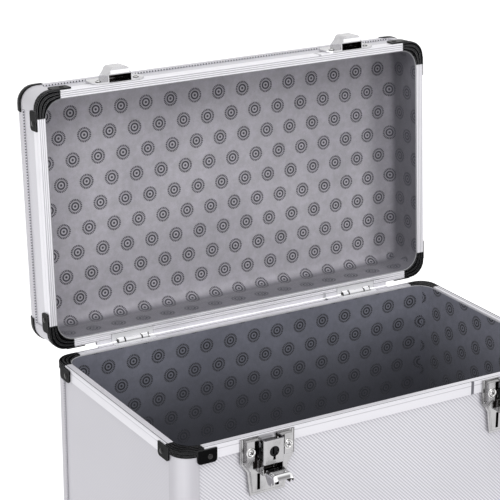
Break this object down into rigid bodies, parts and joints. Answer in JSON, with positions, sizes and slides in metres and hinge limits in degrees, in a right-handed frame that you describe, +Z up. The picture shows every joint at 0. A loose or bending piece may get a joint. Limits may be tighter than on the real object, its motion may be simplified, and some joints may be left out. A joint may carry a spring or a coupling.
{
  "type": "record carrying case",
  "caption": "Upright carrying case for records: aluminium rails, laminate panels, black corners, draw latches with locks, hinged lid standing open, padded lining and a swinging handle.",
  "frame": {"origin": "centre of the open case's outline, seen from above, on the floor plane under its feet", "axes": "+X to the right along the case's width, +Y to the back where the hinges are, +Z up"},
  "size_m": [0.3626, 0.299, 0.5396],
  "materials": {
    "body_front_panel": "silver-grey laminate with a raised diamond pattern",
    "body_back_panel": "silver-grey laminate with a raised diamond pattern",
    "body_left_panel": "silver-grey laminate with a raised diamond pattern",
    "body_right_panel": "silver-grey laminate with a raised diamond pattern",
    "body_bottom_panel": "silver-grey laminate with a raised diamond pattern",
    "body_post_front_left": "satin anodised",
    "body_post_front_right": "satin anodised",
    "body_post_back_left": "satin anodised",
    "body_post_back_right": "satin anodised",
    "body_base_rails": "satin anodised",
    "body_rim_front": "satin anodised",
    "body_rim_back": "satin anodised",
    "body_rim_left": "satin anodised",
    "body_rim_right": "satin anodised",
    "body_rim_corner_front_left": "black moulded plastic",
    "body_rim_corner_front_right": "black moulded plastic",
    "body_rim_corner_back_left": "black moulded plastic",
    "body_rim_corner_back_right": "black moulded plastic",
    "body_foot_corner_front_left": "black moulded plastic",
    "body_foot_corner_front_right": "black moulded plastic",
    "body_foot_corner_back_left": "black moulded plastic",
    "body_foot_corner_back_right": "black moulded plastic",
    "body_lining": "dark padded lining",
    "lid_front_panel": "silver-grey laminate with a raised diamond pattern",
    "lid_back_panel": "silver-grey laminate with a raised diamond pattern",
    "lid_left_panel": "silver-grey laminate with a raised diamond pattern",
    "lid_right_panel": "silver-grey laminate with a raised diamond pattern",
    "lid_top_panel": "silver-grey laminate with a raised diamond pattern",
    "lid_edge_frame": "satin anodised",
    "lid_rim_front": "satin anodised",
    "lid_rim_back": "satin anodised",
    "lid_rim_left": "satin anodised",
    "lid_rim_right": "satin anodised",
    "lid_rim_corner_front_left": "black moulded plastic",
    "lid_rim_corner_front_right": "black moulded plastic",
    "lid_rim_corner_back_left": "black moulded plastic",
    "lid_rim_corner_back_right": "black moulded plastic",
    "lid_top_corner_front_left": "black moulded plastic",
    "lid_top_corner_front_right": "black moulded plastic",
    "lid_top_corner_back_left": "black moulded plastic",
    "lid_top_corner_back_right": "black moulded plastic",
    "lid_lining": "padded lining with a printed pattern of ringed roundels",
    "latch_left_base": "bright nickel plate",
    "latch_left_lever": "bright nickel plate",
    "latch_left_hook": "bright nickel plate",
    "latch_left_lock": "plain",
    "latch_left_keeper": "bright nickel plate",
    "hinge_left_body_leaf": "bright nickel plate",
    "hinge_left_lid_leaf": "bright nickel plate",
    "latch_right_base": "bright nickel plate",
    "latch_right_lever": "bright nickel plate",
    "latch_right_hook": "bright nickel plate",
    "latch_right_lock": "plain",
    "latch_right_keeper": "bright nickel plate",
    "hinge_right_body_leaf": "bright nickel plate",
    "hinge_right_lid_leaf": "bright nickel plate",
    "handle_mount_left": "bright nickel plate",
    "handle_mount_right": "bright nickel plate",
    "handle_grip": "black moulded grip"
  },
  "bodies": {
    "case_body": {"body_front_panel": "body_front_panel", "body_back_panel": "body_back_panel", "body_left_panel": "body_left_panel", "body_right_panel": "body_right_panel", "body_bottom_panel": "body_bottom_panel", "body_post_front_left": "body_post_front_left", "body_post_front_right": "body_post_front_right", "body_post_back_left": "body_post_back_left", "body_post_back_right": "body_post_back_right", "body_base_rails": "body_base_rails", "body_rim_front": "body_rim_front", "body_rim_back": "body_rim_back", "body_rim_left": "body_rim_left", "body_rim_right": "body_rim_right", "body_rim_corner_front_left": "body_rim_corner_front_left", "body_rim_corner_front_right": "body_rim_corner_front_right", "body_rim_corner_back_left": "body_rim_corner_back_left", "body_rim_corner_back_right": "body_rim_corner_back_right", "body_foot_corner_front_left": "body_foot_corner_front_left", "body_foot_corner_front_right": "body_foot_corner_front_right", "body_foot_corner_back_left": "body_foot_corner_back_left", "body_foot_corner_back_right": "body_foot_corner_back_right", "body_lining": "body_lining", "latch_left_base": "latch_left_base", "hinge_left_body_leaf": "hinge_left_body_leaf", "latch_right_base": "latch_right_base", "hinge_right_body_leaf": "hinge_right_body_leaf"},
    "lid": {"lid_front_panel": "lid_front_panel", "lid_back_panel": "lid_back_panel", "lid_left_panel": "lid_left_panel", "lid_right_panel": "lid_right_panel", "lid_top_panel": "lid_top_panel", "lid_edge_frame": "lid_edge_frame", "lid_rim_front": "lid_rim_front", "lid_rim_back": "lid_rim_back", "lid_rim_left": "lid_rim_left", "lid_rim_right": "lid_rim_right", "lid_rim_corner_front_left": "lid_rim_corner_front_left", "lid_rim_corner_front_right": "lid_rim_corner_front_right", "lid_rim_corner_back_left": "lid_rim_corner_back_left", "lid_rim_corner_back_right": "lid_rim_corner_back_right", "lid_top_corner_front_left": "lid_top_corner_front_left", "lid_top_corner_front_right": "lid_top_corner_front_right", "lid_top_corner_back_left": "lid_top_corner_back_left", "lid_top_corner_back_right": "lid_top_corner_back_right", "lid_lining": "lid_lining", "latch_left_keeper": "latch_left_keeper", "hinge_left_lid_leaf": "hinge_left_lid_leaf", "latch_right_keeper": "latch_right_keeper", "hinge_right_lid_leaf": "hinge_right_lid_leaf", "handle_mount_left": "handle_mount_left", "handle_mount_right": "handle_mount_right"},
    "left_lever": {"latch_left_lever": "latch_left_lever"},
    "left_hook": {"latch_left_hook": "latch_left_hook"},
    "left_lock": {"latch_left_lock": "latch_left_lock"},
    "right_lever": {"latch_right_lever": "latch_right_lever"},
    "right_hook": {"latch_right_hook": "latch_right_hook"},
    "right_lock": {"latch_right_lock": "latch_right_lock"},
    "handle": {"handle_grip": "handle_grip"}
  },
  "joints": [
    {"name": "lid_hinge", "type": "hinge", "parent": "case_body", "child": "lid", "pos_m": [0, 0.08608, 0.3167], "axis": [1, 0, 0], "range_deg": [0, 93.5]},
    {"name": "left_lever_pivot", "type": "hinge", "parent": "case_body", "child": "left_lever", "pos_m": [-0.108, -0.13292, 0.291], "axis": [1, 0, 0], "range_deg": [0, 88]},
    {"name": "left_hook_pivot", "type": "hinge", "parent": "left_lever", "child": "left_hook", "pos_m": [-0.108, -0.12558, 0.28944], "axis": [1, 0, 0], "range_deg": [-93.5, 0]},
    {"name": "left_lock_turn", "type": "hinge", "parent": "case_body", "child": "left_lock", "pos_m": [-0.108, -0.13462, 0.3062], "axis": [0, 1, 0], "range_deg": [0, 90]},
    {"name": "right_lever_pivot", "type": "hinge", "parent": "case_body", "child": "right_lever", "pos_m": [0.108, -0.13292, 0.291], "axis": [1, 0, 0], "range_deg": [0, 88]},
    {"name": "right_hook_pivot", "type": "hinge", "parent": "right_lever", "child": "right_hook", "pos_m": [0.108, -0.12558, 0.28944], "axis": [1, 0, 0], "range_deg": [-93.5, 0]},
    {"name": "right_lock_turn", "type": "hinge", "parent": "case_body", "child": "right_lock", "pos_m": [0.108, -0.13462, 0.3062], "axis": [0, 1, 0], "range_deg": [0, 90]},
    {"name": "handle_swing", "type": "hinge", "parent": "lid", "child": "handle", "pos_m": [0, 0.14292, 0.42042], "axis": [1, 0, 0], "range_deg": [-3.5, 176.5]}
  ],
  "couplings": [
    {"joint": "left_hook_pivot", "follows": "left_lever_pivot", "ratio": -1.0625},
    {"joint": "right_hook_pivot", "follows": "right_lever_pivot", "ratio": -1.0625}
  ]
}
